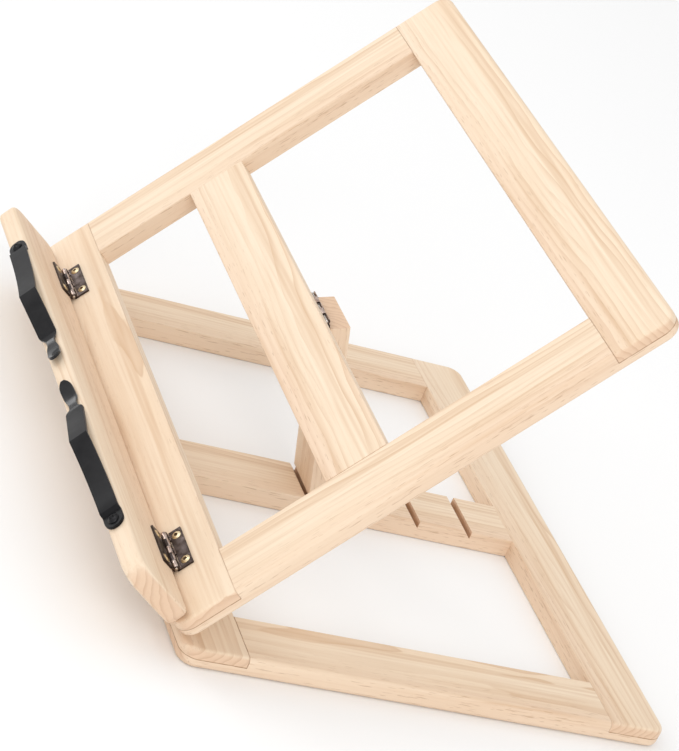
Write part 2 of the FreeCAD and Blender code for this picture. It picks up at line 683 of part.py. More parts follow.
def make_hinges():
    back = "-%s" % PIN_DEPTH
    tilt_base = []
    tilt_panel = []
    ledge_panel = []
    ledge_ledge = []
    for side, word in ((-1, "left"), (1, "right")):
        tilt_x = "%d * Sizes.tilt_hinge_side" % side
        on_base = "%s * %s" % (BASE, at(tilt_x, "Sizes.tilt_pin_inset", PIN_DEPTH))
        on_panel = "%s * %s * %s" % (PANEL, at(tilt_x, "Sizes.tilt_pin_height", back), FLIP)
        hinge("Tilt" + word, "tilt_hinge_" + word, "base_leaf", on_base, "panel_leaf", on_panel)
        tilt_base.append(on_base)
        tilt_panel.append(on_panel)
        ledge_x = "%d * Sizes.ledge_hinge_side" % side
        on_front = "%s * %s" % (PANEL, at(ledge_x, "Sizes.ledge_pin_height", RISE))
        on_ledge = "%s * %s" % (LEDGE, at("-(%s)" % ledge_x))
        hinge("Shelf" + word, "ledge_hinge_" + word, "panel_leaf", on_front, "ledge_leaf", on_ledge)
        ledge_panel.append(on_front)
        ledge_ledge.append(on_ledge)
    on_middle = "%s * %s" % (PANEL, at(y=PROP_PIN_U, z=back, turn="180"))
    hinge("Strut", "prop_hinge", "panel_leaf", on_middle, "strut_leaf", PROP)
    hinge_screws("TiltBaseScrews", "tilt_hinge_base_screws", tilt_base)
    hinge_screws("TiltPanelScrews", "tilt_hinge_panel_screws", tilt_panel)
    hinge_screws("LedgePanelScrews", "ledge_hinge_panel_screws", ledge_panel)
    hinge_screws("LedgeLedgeScrews", "ledge_hinge_ledge_screws", ledge_ledge)
    hinge_screws("PropPanelScrews", "prop_hinge_panel_screws", [on_middle])
    hinge_screws("PropStrutScrews", "prop_hinge_strut_screws", [PROP])


# ---- page clips ----
def clip_strip(name):
    """The bent strip. Its body has X along the clip from the tab's end, Y off the ledge, Z across."""
    body = doc.addObject("PartDesign::Body", name)
    section = rectangle(body, name + "Section", "Sizes.clip_thickness", "Sizes.clip_width", "YZ_Plane")
    path = sketch_on(body, name + "Path", "XY_Plane")
    stops = [
        ("0", "0"),
        ("Sizes.clip_tab", "0"),
        ("Sizes.clip_tab + Sizes.clip_step", "Sizes.clip_step_rise - Sizes.clip_slip"),
        ("Sizes.clip_crest", "Sizes.clip_crest_rise - Sizes.clip_slip"),
        ("Sizes.clip_neck", "Sizes.clip_neck_rise - Sizes.clip_slip"),
        ("Sizes.clip_length", "Sizes.clip_tip_rise - Sizes.clip_slip"),
    ]
    bows = {2: "Sizes.clip_bow", 4: "Sizes.clip_tip_bow"}
    points = [FreeCAD.Vector(value_of(x), value_of(y), 0) for x, y in stops]
    for number in range(len(points) - 1):
        start, end = points[number], points[number + 1]
        if number in bows:
            radius = value_of(bows[number])
            half = (end - start).Length / 2
            across = FreeCAD.Vector(end.y - start.y, start.x - end.x, 0).normalize()
            sag = radius - math.sqrt(radius ** 2 - half ** 2)
            path.addGeometry(Part.Arc(start, (start + end) / 2 + across * sag, end))
        else:
            path.addGeometry(Part.LineSegment(start, end))
    for number, (x, y) in enumerate(stops[:-1]):
        hold(path, number, 1, x, y)
    hold(path, len(stops) - 2, 2, *stops[-1])
    for number in range(len(points) - 2):
        path.addConstraint(Sketcher.Constraint("Coincident", number, 2, number + 1, 1))
    for number, radius in bows.items():
        index = path.addConstraint(Sketcher.Constraint("Radius", number, value_of(radius)))
        path.setExpression("Constraints[%d]" % index, radius)
    doc.recompute()
    pipe = body.newObject("PartDesign::AdditivePipe", name + "Bend")
    pipe.Profile = section
    pipe.Spine = (path, [])
    pipe.Transition = "Right corner"
    doc.recompute()
    return body


def clip_outline(name):
    """The strip's outline, seen from the front: round tab, parallel arm, narrow neck and round tip."""
    deep = "3 * Sizes.clip_crest_rise"
    start_y = "-Sizes.clip_crest_rise"
    middle = "Sizes.clip_width / 2"
    neck_end = "Sizes.clip_length - Sizes.clip_tip_width"
    round_tab = primitive(
        "Part::Cylinder",
        name + "Tab",
        {"Radius": middle, "Height": deep},
        at(middle, start_y, middle, turn="-90"),
    )
    shoulder_x = "Sizes.clip_neck - Sizes.clip_shoulder"
    arm = primitive(
        "Part::Box",
        name + "Arm",
        {"Length": "%s - %s" % (shoulder_x, middle), "Width": deep, "Height": "Sizes.clip_width"},
        at(middle, start_y),
    )
    taper = primitive(
        "Part::Wedge",
        name + "Shoulder",
        {
            "Xmin": "0",
            "Ymin": "0",
            "Zmin": "0",
            "Xmax": "Sizes.clip_width",
            "Ymax": "Sizes.clip_shoulder",
            "Zmax": deep,
            "X2min": "(Sizes.clip_width - Sizes.clip_neck_width) / 2",
            "X2max": "(Sizes.clip_width + Sizes.clip_neck_width) / 2",
            "Z2min": "0",
            "Z2max": deep,
        },
        "%s * %s" % (at(shoulder_x, start_y, "0"), at(axis="1;1;1", turn="-120")),
    )
    neck = primitive(
        "Part::Box",
        name + "Neck",
        {
            "Length": "Sizes.clip_tip_width",
            "Width": deep,
            "Height": "Sizes.clip_neck_width",
        },
        at("Sizes.clip_neck", start_y, "(Sizes.clip_width - Sizes.clip_neck_width) / 2"),
    )
    inner_tip = primitive(
        "Part::Cylinder",
        name + "TipInner",
        {"Radius": "Sizes.clip_tip_width / 2", "Height": deep},
        at("Sizes.clip_neck + Sizes.clip_tip_width", start_y, middle, turn="-90"),
    )
    outer_tip = primitive(
        "Part::Cylinder",
        name + "TipOuter",
        {"Radius": "Sizes.clip_tip_width / 2", "Height": deep},
        at("Sizes.clip_length - Sizes.clip_tip_width / 2", start_y, middle, turn="-90"),
    )
    pad = primitive(
        "Part::Box",
        name + "Pad",
        {
            "Length": "%s - Sizes.clip_neck - Sizes.clip_tip_width / 2" % neck_end,
            "Width": deep,
            "Height": "Sizes.clip_tip_width",
        },
        at(
            "Sizes.clip_neck + Sizes.clip_tip_width",
            start_y,
            "(Sizes.clip_width - Sizes.clip_tip_width) / 2",
        ),
    )
    outline = doc.addObject("Part::MultiFuse", name)
    outline.Shapes = [round_tab, arm, taper, neck, inner_tip, pad, outer_tip]
    return outline


def make_clips():
    middle = "Sizes.clip_width / 2"
    for word, side_x, turned in (
        ("left", "Sizes.clip_left_side", True),
        ("right", "-Sizes.clip_right_side", False),
    ):
        name = "Clip" + word
        shape = doc.addObject("Part::Common", name + "Shape")
        shape.Base = clip_strip(name + "Strip")
        shape.Tool = clip_outline(name + "Outline")
        hole = primitive(
            "Part::Cylinder",
            name + "Hole",
            {
                "Radius": "Sizes.clip_screw_radius + Sizes.clip_screw_play",
                "Height": "3 * Sizes.clip_thickness",
            },
            at(middle, "-Sizes.clip_thickness", middle, turn="-90"),
        )
        clip = doc.addObject("Part::Cut", name)
        clip.Base = shape
        clip.Tool = hole
        turn = "180" if turned else "0"
        on_screw = at(side_x, LEDGE_FRONT, "-%s - Sizes.stock / 2" % RISE, "0;1;0", turn)
        offset = at("-%s" % middle, "Sizes.clip_slip", "-%s" % middle)
        finish(clip, "page_clip_" + word, LEDGE, "%s * %s" % (on_screw, offset))


def make_clip_screws():
    screws = []
    lift = "(2 * Sizes.clip_slip + Sizes.clip_thickness)"
    for word, side_x in (("Left", "Sizes.clip_left_side"), ("Right", "-Sizes.clip_right_side")):
        name = "ClipScrew" + word
        sizes = {
            "Radius": "Sizes.clip_screw_radius",
            "Height": "Sizes.clip_screw_grip + %s" % lift,
        }
        where = at(z="-Sizes.clip_screw_grip - %s" % lift)
        shank = primitive("Part::Cylinder", name + "Shank", sizes, where)
        head, recess = crossed_head(
            name, "Sizes.clip_screw_head", "Sizes.clip_screw_crown", "Sizes.clip_screw_cross"
        )
        screw = screw_from(name, [head, shank], recess)
        on_clip = "%s + %s" % (LEDGE_FRONT, lift)
        where = at(side_x, on_clip, "-%s - Sizes.stock / 2" % RISE, turn="-90")
        screw.setExpression("Placement", where)
        screws.append(screw)
    group = doc.addObject("Part::Compound", "ClipScrews")
    group.Links = screws
    finish(group, "clip_screws", LEDGE)


make_base()
make_panel()
make_prop()
make_ledge()
make_hinges()
make_clips()
make_clip_screws()
doc.recompute()

for obj in doc.Objects:
    if "Invalid" in obj.State or "Error" in obj.State:
        raise RuntimeError("%s is %s" % (obj.Name, obj.State))
for obj in parts:
    if obj.Shape.isNull() or not obj.Shape.isValid():
        raise RuntimeError("%s has no valid shape" % obj.Label)

os.makedirs("parts", exist_ok=True)
for obj in parts:
    obj.Shape.exportStep("parts/%s.step" % obj.Label)
    print("%-28s %9.1f mm3, %d solids" % (obj.Label, obj.Shape.Volume, len(obj.Shape.Solids)))
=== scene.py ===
# %% [markdown]
# A folding desk easel in pale pine. A flat base frame lies on the table, a second frame tilts up
# from its front edge and carries the page, and a narrow strut behind it comes down to a notched
# rail. A ledge with two black page clips folds out at the foot of the tilting frame.
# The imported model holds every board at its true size, so it comes in first, and all that follows
# is placed from it.

import json
from math import pi, radians

import bmesh
import bpy
from mathutils import Matrix, Vector


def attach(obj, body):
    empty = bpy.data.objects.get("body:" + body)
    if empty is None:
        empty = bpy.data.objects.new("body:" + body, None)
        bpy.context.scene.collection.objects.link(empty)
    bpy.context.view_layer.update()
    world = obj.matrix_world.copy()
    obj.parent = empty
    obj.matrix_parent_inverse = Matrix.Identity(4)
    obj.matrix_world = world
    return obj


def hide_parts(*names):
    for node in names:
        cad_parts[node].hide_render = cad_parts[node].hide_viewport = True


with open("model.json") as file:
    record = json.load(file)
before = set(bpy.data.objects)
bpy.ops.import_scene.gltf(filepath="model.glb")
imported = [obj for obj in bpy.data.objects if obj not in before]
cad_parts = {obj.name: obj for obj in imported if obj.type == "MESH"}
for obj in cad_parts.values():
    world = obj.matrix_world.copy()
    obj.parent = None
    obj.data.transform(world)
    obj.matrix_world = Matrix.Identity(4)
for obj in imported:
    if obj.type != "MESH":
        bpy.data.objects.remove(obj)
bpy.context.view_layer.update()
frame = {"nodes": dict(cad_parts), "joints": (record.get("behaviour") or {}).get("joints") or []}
nodes = frame["nodes"]

# %% [markdown]
# The camera comes first, because it decides what has to look right. A long lens held from the
# right, above and a little in front, and rolled to its left, shows the easel as if it stood on a
# slope. A camera looks along its own -Z, so its turn is written as three rows: right, up, back.

# %% Camera
scene = bpy.context.scene
lens = bpy.data.cameras.new("long_lens")
lens.lens = 130.96
lens.sensor_width = 36
camera = bpy.data.objects.new("camera", lens)
scene.collection.objects.link(camera)
right = Vector((0.27031, 0.87843, 0.39408))
up = Vector((-0.53433, -0.20362, 0.82038))
back = Vector((0.80089, -0.43233, 0.41433))
camera.matrix_world = Matrix.Translation((1.0153, -0.5755, 0.5941)) @ Matrix(
    (right, up, back)
).transposed().to_4x4()
scene.camera = camera
print("camera at", tuple(round(v, 3) for v in camera.matrix_world.translation))

# %% [markdown]
# The stage is a wide pale floor and soft light. Pale wood on white needs large lights, or its
# faces go flat: one big lamp above the front left, one low on the left that draws the long grey
# sheen on the black clips, and one by the camera. A bright sky fills what they leave dark.


# %% Floor, sky and lamps
def start():
    """Leave edit mode and select nothing."""
    if bpy.context.object and bpy.context.object.mode != "OBJECT":
        bpy.ops.object.mode_set(mode="OBJECT")
    bpy.ops.object.select_all(action="DESELECT")


def plain(name, color, roughness, metallic=0.0):
    """A new material, its shader and its node tree."""
    material = bpy.data.materials.new(name)
    material.use_nodes = True
    shader = material.node_tree.nodes["Principled BSDF"]
    shader.inputs["Base Color"].default_value = (*color, 1)
    shader.inputs["Roughness"].default_value = roughness
    shader.inputs["Metallic"].default_value = metallic
    return material, shader, material.node_tree


start()
bpy.ops.mesh.primitive_plane_add(size=16, location=(0, 0, -0.0002))
floor = bpy.context.object
floor.name = "studio_floor"
floor.data.materials.append(plain("floor_paint", (0.9, 0.9, 0.9), 0.7)[0])

scene.view_settings.view_transform = "Standard"
scene.view_settings.look = "None"
sky = bpy.data.worlds.new("sky")
sky.use_nodes = True
sky.node_tree.nodes["Background"].inputs["Color"].default_value = (1, 1, 1, 1)
sky.node_tree.nodes["Background"].inputs["Strength"].default_value = 0.88
scene.world = sky


def lamp(name, place, size, height, power, aim=(0, -0.02, 0.1)):
    """A rectangular soft lamp that faces a point."""
    light = bpy.data.lights.new(name, "AREA")
    light.shape = "RECTANGLE"
    light.size = size
    light.size_y = height
    light.energy = power
    holder = bpy.data.objects.new(name, light)
    scene.collection.objects.link(holder)
    holder.location = place
    holder.rotation_euler = (Vector(place) - Vector(aim)).to_track_quat("Z", "Y").to_euler()


lamp("lamp_front_left", (-0.9, -1.9, 2.3), 2.2, 2.2, 17)
lamp("lamp_low_left", (-1.65, -1.2, 0.62), 0.8, 0.5, 6)
lamp("lamp_by_camera", (2.2, -0.6, 1.3), 1.4, 1.4, 20)
print("stage ready")

# %% [markdown]
# Everything on the easel lies in one of a few frames: flat on the base, in the tilting panel, in
# the ledge or along the strut. Each frame is a turn about X, read off the boards' own angles, and
# its origin is the joint that the board turns on.

# %% Sizes and frames
MM = 0.001
STOCK = 9.5 * MM
RAIL = 30 * MM
TILT = radians(52.8)
LEDGE_TURN = radians(52.8 + 92.6)
STRUT_TURN = radians(17.5 - 90)
pivots = {joint["name"]: Vector(joint["pos_m"]) for joint in frame["joints"]}


def turn_x(angle):
    return Matrix.Rotation(angle, 4, "X")


FLIP = Matrix.Rotation(pi, 4, "Y")
LENGTHWISE = Matrix.Rotation(pi / 2, 4, "Z")


def middle(name, turn):
    """The middle of a CAD node, measured square to its own sides."""
    spots = [turn.inverted() @ spot.co for spot in nodes[name].data.vertices]
    low = Vector(min(spot[axis] for spot in spots) for axis in range(3))
    high = Vector(max(spot[axis] for spot in spots) for axis in range(3))
    return turn @ ((low + high) / 2)


print("pivots:", {name: tuple(round(v, 4) for v in place) for name, place in pivots.items()})

# %% [markdown]
# Pine is a stack of yearly rings: a wide pale band of spring wood that darkens into a thin tan
# line, again and again, round the middle of the trunk. A board is a straight cut through those
# rings, so one solid pattern gives all its faces at once: long stripes on its sides and arcs on
# its ends. It is made here from distances to a line beside the board, bent by slow noise. Fine
# fibres, short pores, a slow drift from cream to pink and darker end grain go on top, and a thin
# brown glue line shows wherever two boards lap.


# %% Pine
def wire(tree, source, target):
    tree.links.new(source, target)


def value_node(tree, operation, *items):
    """A Math node with numbers or sockets as its inputs."""
    node = tree.nodes.new("ShaderNodeMath")
    node.operation = operation
    for number, item in enumerate(items):
        if isinstance(item, (int, float)):
            node.inputs[number].default_value = item
        else:
            wire(tree, item, node.inputs[number])
    return node.outputs[0]


def noise(tree, vector, stretch, detail=2.0, roughness=0.5):
    """Noise in a stretched copy of a vector: one number and one colour."""
    scale = tree.nodes.new("ShaderNodeMapping")
    scale.inputs["Scale"].default_value = stretch
    wire(tree, vector, scale.inputs["Vector"])
    node = tree.nodes.new("ShaderNodeTexNoise")
    node.inputs["Scale"].default_value = 1
    node.inputs["Detail"].default_value = detail
    node.inputs["Roughness"].default_value = roughness
    wire(tree, scale.outputs[0], node.inputs["Vector"])
    return node.outputs["Fac"], node.outputs["Color"]


def ramp(tree, value, stops):
    node = tree.nodes.new("ShaderNodeValToRGB")
    points = node.color_ramp.elements
    while len(points) < len(stops):
        points.new(0.5)
    for point, (place, color) in zip(points, stops):
        point.position = place
        point.color = (*color, 1)
    wire(tree, value, node.inputs["Fac"])
    return node.outputs["Color"]


def mix(tree, amount, first, second, kind="MIX"):
    """Two colours mixed by a number or a socket."""
    node = tree.nodes.new("ShaderNodeMix")
    node.data_type = "RGBA"
    node.blend_type = kind
    amount_in, first_in, second_in = node.inputs[0], node.inputs[6], node.inputs[7]
    for socket, item in ((amount_in, amount), (first_in, first), (second_in, second)):
        if isinstance(item, (int, float)):
            socket.default_value = item
        elif isinstance(item, tuple):
            socket.default_value = (*item, 1)
        else:
            wire(tree, item, socket)
    return node.outputs[2]


def step(tree, value, low, high, soft_from=0.0, soft_to=1.0):
    """A soft step in a value, from low to high."""
    node = tree.nodes.new("ShaderNodeMapRange")
    node.interpolation_type = "SMOOTHSTEP"
    wire(tree, value, node.inputs["Value"])
    node.inputs["From Min"].default_value = low
    node.inputs["From Max"].default_value = high
    node.inputs["To Min"].default_value = soft_from
    node.inputs["To Max"].default_value = soft_to
    return node.outputs[0]


CREAM = (0.82, 0.675, 0.515)
PALE = (0.79, 0.625, 0.455)
PINK = (0.75, 0.555, 0.415)
TAN = (0.60, 0.395, 0.235)
END = (0.56, 0.36, 0.235)
END_PALE = (0.70, 0.49, 0.335)
GLUE = (0.30, 0.155, 0.07)
PORE = (0.45, 0.28, 0.16)
# Painted shade for the inside of the ratchet rail's notches.
NOTCH_SHADE = (0.42, 0.23, 0.12)
RINGS_SCALE = 0.314
LATE_WOOD = ((0, 0.1), (0.08, 0.0), (0.55, 0.12), (0.88, 0.75), (0.97, 1), (1, 0.2))


def pine(name, turn, pith, ring=3.2, lean=0.03, warmth=0.5, length=0.0, lap=0, shade_notches=False):
    """Pine for one board. turn lays the pattern's X along the grain, and pith is where the middle
    of the tree lies beside the board, in millimetres across and through it. lap is the face, 1 or
    -1, that the boards across this one's ends cover."""
    material, shader, tree = plain("pine_" + name, CREAM, 0.6)
    place = tree.nodes.new("ShaderNodeTexCoord")
    lay = tree.nodes.new("ShaderNodeMapping")
    lay.vector_type = "TEXTURE"
    lay.inputs["Location"].default_value = middle(name, turn)
    lay.inputs["Rotation"].default_value = turn.to_euler("XYZ")
    wire(tree, place.outputs["Object"], lay.inputs["Vector"])
    board = lay.outputs[0]
    axes = tree.nodes.new("ShaderNodeSeparateXYZ")
    wire(tree, board, axes.inputs[0])
    along, across, through = axes.outputs

    drift, bend = noise(tree, board, (5, 34, 34), 3.5, 0.6)
    centred = tree.nodes.new("ShaderNodeVectorMath")
    centred.operation = "MULTIPLY_ADD"
    wire(tree, bend, centred.inputs[0])
    centred.inputs[1].default_value = (0, 0.012, 0.012)
    wire(tree, board, centred.inputs[2])
    shift = tree.nodes.new("ShaderNodeCombineXYZ")
    sideways = value_node(tree, "MULTIPLY_ADD", along, lean, pith[0] * MM)
    wire(tree, sideways, shift.inputs["Y"])
    shift.inputs["Z"].default_value = pith[1] * MM
    moved = tree.nodes.new("ShaderNodeVectorMath")
    wire(tree, centred.outputs[0], moved.inputs[0])
    wire(tree, shift.outputs[0], moved.inputs[1])
    rings = tree.nodes.new("ShaderNodeTexWave")
    rings.wave_type = "RINGS"
    rings.rings_direction = "X"
    rings.wave_profile = "SAW"
    rings.inputs["Scale"].default_value = RINGS_SCALE / (ring * MM)
    wire(tree, moved.outputs[0], rings.inputs["Vector"])
    year = rings.outputs["Fac"]

    ground = mix(tree, step(tree, drift, 0.35, 0.65), CREAM, PALE)
    late = ramp(tree, year, [(stop, (grey,) * 3) for stop, grey in LATE_WOOD])
    fade = noise(tree, board, (6, 90, 90), 2.0)[0]
    strength = value_node(tree, "MULTIPLY", late, step(tree, fade, 0.35, 0.68, 0.06, 0.72))
    colour = mix(tree, strength, ground, TAN)
    blush = noise(tree, board, (2.2, 26, 40), 1.5)[0]
    colour = mix(tree, step(tree, blush, 0.42, 0.72, 0.0, warmth), colour, PINK)
    fibre = noise(tree, board, (14, 700, 700), 4, 0.62)[0]
    streak = noise(tree, board, (4, 170, 170), 3, 0.6)[0]
    colour = mix(tree, step(tree, streak, 0.5, 0.72, 0.0, 0.42), colour, TAN)
    colour = mix(tree, step(tree, fibre, 0.35, 0.75, 0.0, 0.2), colour, TAN)
    pore = noise(tree, board, (130, 1900, 1900), 1)[0]
    pits = step(tree, pore, 0.63, 0.72)
    pits = value_node(tree, "MULTIPLY", pits, step(tree, blush, 0.4, 0.62, 0.08, 0.55))
    colour = mix(tree, pits, colour, PORE)

    facing = tree.nodes.new("ShaderNodeMapping")
    facing.vector_type = "TEXTURE"
    facing.inputs["Rotation"].default_value = turn.to_euler("XYZ")
    wire(tree, place.outputs["Normal"], facing.inputs["Vector"])
    facing_axes = tree.nodes.new("ShaderNodeSeparateXYZ")
    wire(tree, facing.outputs[0], facing_axes.inputs[0])
    end_on = step(tree, value_node(tree, "ABSOLUTE", facing_axes.outputs[0]), 0.5, 0.9)
    arcs = mix(tree, value_node(tree, "MULTIPLY", late, 0.85), END_PALE, END)
    colour = mix(tree, value_node(tree, "MULTIPLY", end_on, 0.85), colour, arcs)

    if lap:
        far = value_node(tree, "ABSOLUTE", along)
        edge = length / 2 - RAIL
        in_lap = value_node(tree, "GREATER_THAN", far, edge)
        seam = step(tree, value_node(tree, "ABSOLUTE", through), 0.00008, 0.00035, 1.0, 0.0)
        line = value_node(tree, "MULTIPLY", in_lap, seam)
        shoulder = value_node(tree, "ABSOLUTE", value_node(tree, "SUBTRACT", far, edge))
        butt = step(tree, shoulder, 0.00005, 0.0003, 0.6, 0.0)
        covered = value_node(tree, "GREATER_THAN", value_node(tree, "MULTIPLY", through, lap), 0.0)
        butt = value_node(tree, "MULTIPLY", butt, covered)
        line = value_node(tree, "MAXIMUM", line, butt)
        patch = noise(tree, board, (160, 160, 160), 2)[0]
        line = value_node(tree, "MULTIPLY", line, step(tree, patch, 0.3, 0.55, 0.25, 0.9))
        colour = mix(tree, line, colour, GLUE)
    # Painted shade: inside the ratchet rail's notches, below its top face, the colour is darkened to
    # stand for the shade that falls there.
    if shade_notches:
        off_middle = value_node(tree, "ABSOLUTE", across)
        inside = value_node(tree, "LESS_THAN", off_middle, RAIL / 2 - 0.0004)
        below = step(tree, through, STOCK / 2 - 0.0022, STOCK / 2 - 0.0003, 1.0, 0.0)
        notch_shade_noise = noise(tree, board, (300, 120, 300), 3)[0]
        notch_shade_mask = value_node(tree, "MULTIPLY", inside, below)
        notch_shade_mask = value_node(tree, "MULTIPLY", notch_shade_mask, step(tree, notch_shade_noise, 0.25, 0.7, 0.45, 0.9))
        colour = mix(tree, notch_shade_mask, colour, NOTCH_SHADE)
    wire(tree, colour, shader.inputs["Base Color"])

    wire(tree, step(tree, fibre, 0.2, 0.8, 0.52, 0.7), shader.inputs["Roughness"])
    raised = value_node(tree, "MULTIPLY", fibre, 0.6)
    relief = value_node(tree, "ADD", raised, value_node(tree, "MULTIPLY", pore, -0.5))
    relief = value_node(tree, "ADD", relief, value_node(tree, "MULTIPLY", late, 0.25))
    bump = tree.nodes.new("ShaderNodeBump")
    bump.inputs["Strength"].default_value = 0.25
    bump.inputs["Distance"].default_value = 0.00025
    wire(tree, relief, bump.inputs["Height"])
    wire(tree, bump.outputs[0], shader.inputs["Normal"])
    return material


flat = Matrix.Identity(4)
tilted = turn_x(TILT)
upright = tilted @ LENGTHWISE
along_strut = turn_x(STRUT_TURN) @ LENGTHWISE
WIDE = 310 * MM
BASE_DEEP = 241 * MM
PANEL_HIGH = 242 * MM
boards = {
    "base_front_rail": dict(turn=flat, pith=(38, -60), ring=3.6, length=WIDE, lap=-1),
    "base_back_rail": dict(turn=flat, pith=(-44, 30), ring=3.0, lean=-0.04, length=WIDE, lap=-1),
    "base_left_rail": dict(turn=LENGTHWISE, pith=(70, 22), ring=2.8, length=BASE_DEEP, lap=1),
    "base_right_rail": dict(
        turn=LENGTHWISE, pith=(-26, 75), ring=3.4, lean=0.05, length=BASE_DEEP, lap=1
    ),
    "base_ratchet_rail": dict(turn=LENGTHWISE, pith=(52, -34), ring=2.6, warmth=0.6, shade_notches=True),
    "panel_bottom_rail": dict(
        turn=tilted, pith=(-20, 62), ring=4.2, lean=0.05, length=WIDE, lap=-1
    ),
    "panel_top_rail": dict(turn=tilted, pith=(64, 26), ring=3.0, lean=-0.02, length=WIDE, lap=-1),
    "panel_left_rail": dict(turn=upright, pith=(24, -58), ring=3.8, length=PANEL_HIGH, lap=1),
    "panel_right_rail": dict(
        turn=upright, pith=(60, 40), ring=3.0, lean=0.04, length=PANEL_HIGH, lap=1
    ),
    "panel_middle_rail": dict(turn=tilted, pith=(-46, -44), ring=3.2, lean=0.03, warmth=0.7),
    "prop_strut": dict(turn=along_strut, pith=(33, 28), ring=2.4),
    "ledge_board": dict(turn=turn_x(LEDGE_TURN), pith=(12, 34), ring=3.4, lean=0.02, warmth=0.6),
}
for name, choices in boards.items():
    nodes[name].material_slots[0].material = pine(name, **choices)
print("pine boards:", len(boards))

# %% [markdown]
# The dowels inside the joints are beech, a denser and pinker wood. They never show, so one plain
# grain with fine flecks along it is enough.

# %% Beech dowels
beech, shader, tree = plain("beech", (0.62, 0.42, 0.26), 0.55)
where = tree.nodes.new("ShaderNodeTexCoord")
flecks = noise(tree, where.outputs["Object"], (900, 900, 900), 2)[0]
beech_tones = ramp(tree, flecks, [(0.3, (0.66, 0.46, 0.3)), (0.7, (0.5, 0.31, 0.18))])
wire(tree, beech_tones, shader.inputs["Base Color"])
for name in ("base_dowels", "panel_dowels"):
    nodes[name].material_slots[0].material = beech
print("dowels finished")

# %% [markdown]
# A hinge leaf is stamped from sheet, its holes are countersunk, and its fingers are curled round
# the pin. The same steps work here: a thin plate is cut across where its fingers begin and end,
# the fingers' edges are pulled out to the pin and spun round it, and two cones are cut out for
# the screws. A small bevel softens all the edges, as plating does.

# %% Hinge sizes and helpers
KNUCKLE = 1.6 * MM
HINGE_LONG = 25 * MM
REACH = 7.8 * MM
SHEET = 1.0 * MM
RISE = KNUCKLE + 0.15 * MM
PLAY = 0.2 * MM
SCREW_OUT = 4.9 * MM
SCREW_HALF = 8.6 * MM


def pick(obj, test, kind="FACE"):
    """In edit mode, select only the faces or edges that pass a test on their middle and normal."""
    bpy.context.tool_settings.mesh_select_mode = (False, kind == "EDGE", kind == "FACE")
    mesh = bmesh.from_edit_mesh(obj.data)
    for group in (mesh.verts, mesh.edges, mesh.faces):
        for item in group:
            item.select = False
    count = 0
    for item in mesh.faces if kind == "FACE" else mesh.edges:
        if kind == "FACE":
            hit = test(item.calc_center_median(), item.normal)
        else:
            hit = test(*[vert.co for vert in item.verts])
        if hit:
            item.select_set(True)
            count += 1
    bmesh.update_edit_mesh(obj.data)
    return count


def add(operator, name, **options):
    """A new primitive with its place and size in its mesh, ready in edit mode."""
    start()
    operator(**options)
    obj = bpy.context.object
    obj.name = name
    bpy.ops.object.transform_apply(location=True, rotation=True, scale=True)
    bpy.ops.object.mode_set(mode="EDIT")
    return obj


def cut(obj, tool):
    """Take one closed shape out of another and throw the tool away."""
    start()
    bpy.context.view_layer.objects.active = obj
    hole = obj.modifiers.new("cut", "BOOLEAN")
    hole.object = tool
    hole.operation = "DIFFERENCE"
    hole.solver = "EXACT"
    bpy.ops.object.modifier_apply(modifier="cut")
    bpy.data.objects.remove(tool)


def soften(obj, width, segments=2, angle=35):
    """Bevel the sharp edges and shade the rest smooth."""
    start()
    obj.select_set(True)
    bpy.context.view_layer.objects.active = obj
    edge = obj.modifiers.new("edge", "BEVEL")
    edge.width = width
    edge.segments = segments
    edge.limit_method = "ANGLE"
    edge.angle_limit = radians(angle)
    bpy.ops.object.modifier_apply(modifier="edge")
    bpy.ops.object.shade_smooth_by_angle(angle=radians(angle))


def copy_of(obj, name, matrix):
    """A copy with its own mesh, moved into place within that mesh."""
    start()
    twin = obj.copy()
    twin.data = obj.data.copy()
    twin.name = name
    twin.data.name = name
    scene.collection.objects.link(twin)
    twin.matrix_world = matrix
    twin.select_set(True)
    bpy.context.view_layer.objects.active = twin
    bpy.ops.object.transform_apply(location=True, rotation=True, scale=True)
    return twin


def cone_tool(place, low, high, depth):
    """A cone that widens upwards from a place."""
    start()
    bpy.ops.mesh.primitive_cone_add(
        vertices=32, radius1=low, radius2=high, depth=depth, location=place
    )
    return bpy.context.object


print("hinge leaf is", round(HINGE_LONG / MM, 1), "mm long")

# %% Two leaves, one for each set of fingers
CLEAR = KNUCKLE + 0.3 * MM


def make_leaf(name, first):
    """A leaf with the pin on X and the wood below it. first is its first finger, 0 or 1."""
    size = (HINGE_LONG, REACH - CLEAR, SHEET)
    where = (0, (REACH + CLEAR) / 2, -RISE + SHEET / 2)
    obj = add(bpy.ops.mesh.primitive_cube_add, name, size=1, location=where, scale=size)
    pitch = HINGE_LONG / 5
    fingers = [-HINGE_LONG / 2 + number * pitch for number in range(first, 5, 2)]
    for left in fingers:
        for x in (left + PLAY / 2, left + pitch - PLAY / 2):
            bpy.ops.mesh.select_all(action="SELECT")
            bpy.ops.mesh.bisect(plane_co=(x, 0, 0), plane_no=(1, 0, 0))

    def is_finger(middle_point, normal):
        inside = any(left + PLAY / 2 < middle_point.x < left + pitch - PLAY / 2 for left in fingers)
        return normal.y < -0.9 and inside

    pick(obj, is_finger)
    bpy.ops.mesh.extrude_region_move(TRANSFORM_OT_translate={"value": (0, -CLEAR, 0)})
    bpy.ops.transform.resize(value=(1, 1, 0.8), center_override=(0, 0, -1.22 * MM))
    bpy.ops.mesh.spin(steps=12, angle=radians(-300), center=(0, 0, 0), axis=(1, 0, 0))
    bpy.ops.mesh.select_all(action="SELECT")
    bpy.ops.mesh.normals_make_consistent(inside=False)
    bpy.ops.object.mode_set(mode="OBJECT")
    for side in (-1, 1):
        sink = (side * SCREW_HALF, SCREW_OUT, -RISE + SHEET / 2)
        cut(obj, cone_tool(sink, 1.2 * MM, 2.35 * MM, SHEET * 1.02))
    soften(obj, 0.12 * MM)
    return obj


